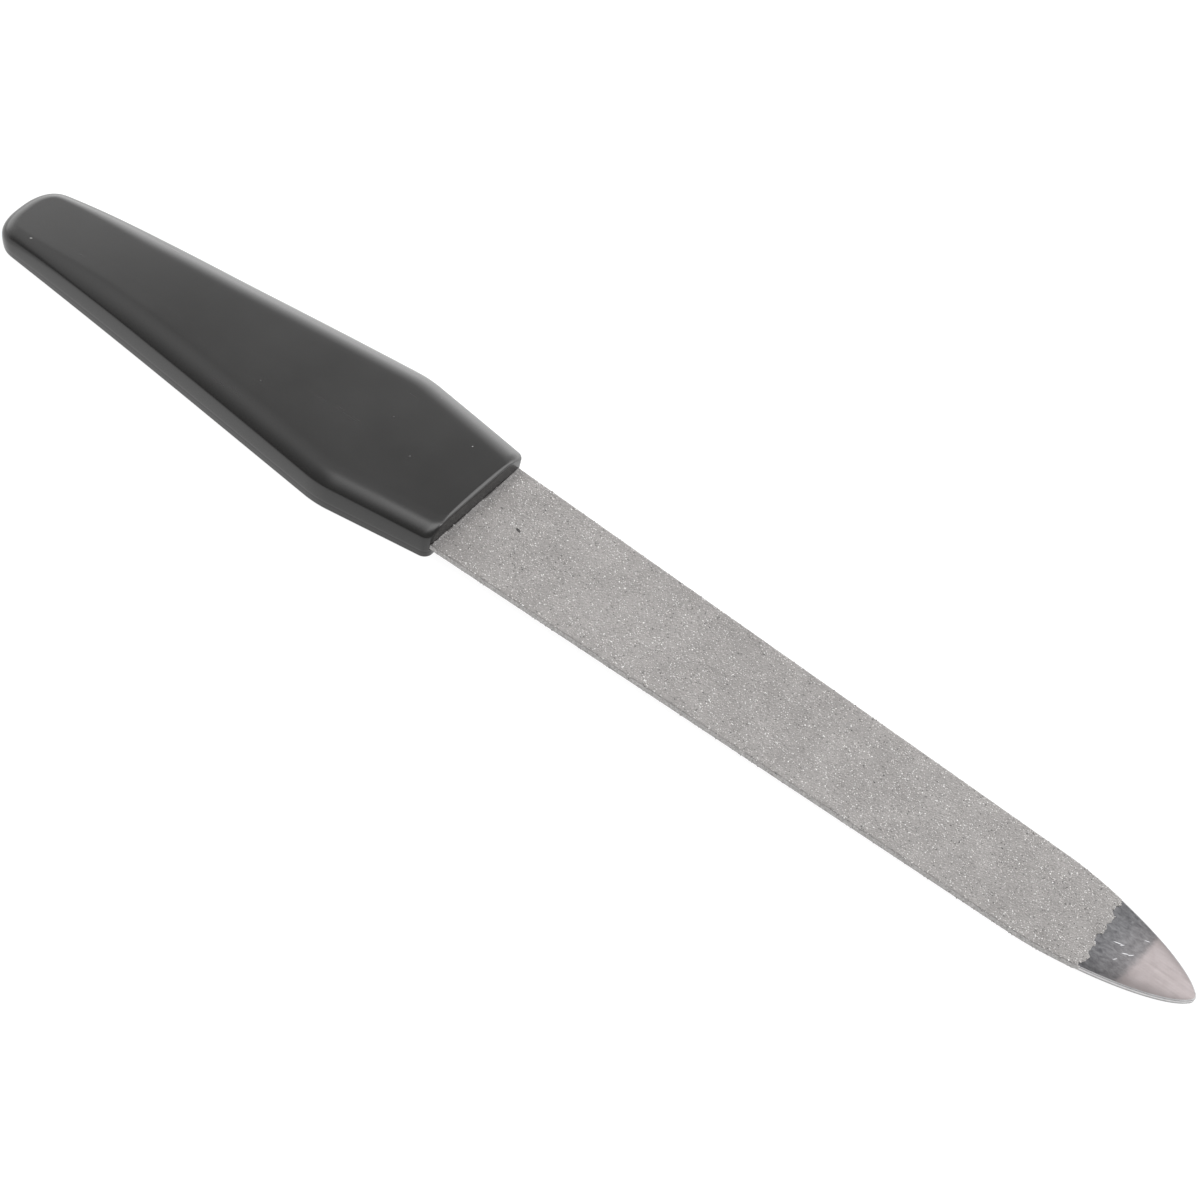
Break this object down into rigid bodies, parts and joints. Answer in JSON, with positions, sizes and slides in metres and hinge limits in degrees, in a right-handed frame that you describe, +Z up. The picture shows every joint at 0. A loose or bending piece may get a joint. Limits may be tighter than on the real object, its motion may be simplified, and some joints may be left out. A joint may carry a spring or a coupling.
{
  "type": "metal nail file",
  "caption": "Flat steel nail file with an abrasive coating on both faces, a bare pointed tip, and a moulded plastic handle that tapers to its butt.",
  "frame": {"origin": "middle of the bounding box in plan, at the height of the handle's flat underside", "axes": "+X along the file from the handle's butt to the blade's tip, +Z up out of the handle's rounded top, +Y across the file"},
  "size_m": [0.1524, 0.0202, 0.005],
  "materials": {
    "handle_plastic": "near-black moulded plastic with a soft sheen",
    "blade_steel": "ground bare steel, slightly dull at the point",
    "grit_top": "pale warm grey bonded grit with glinting crystals",
    "grit_underside": "pale warm grey bonded grit with glinting crystals"
  },
  "bodies": {
    "root": {"handle": "handle_plastic", "blade": "blade_steel", "grit_coating_top": "grit_top", "grit_coating_underside": "grit_underside"}
  },
  "joints": []
}
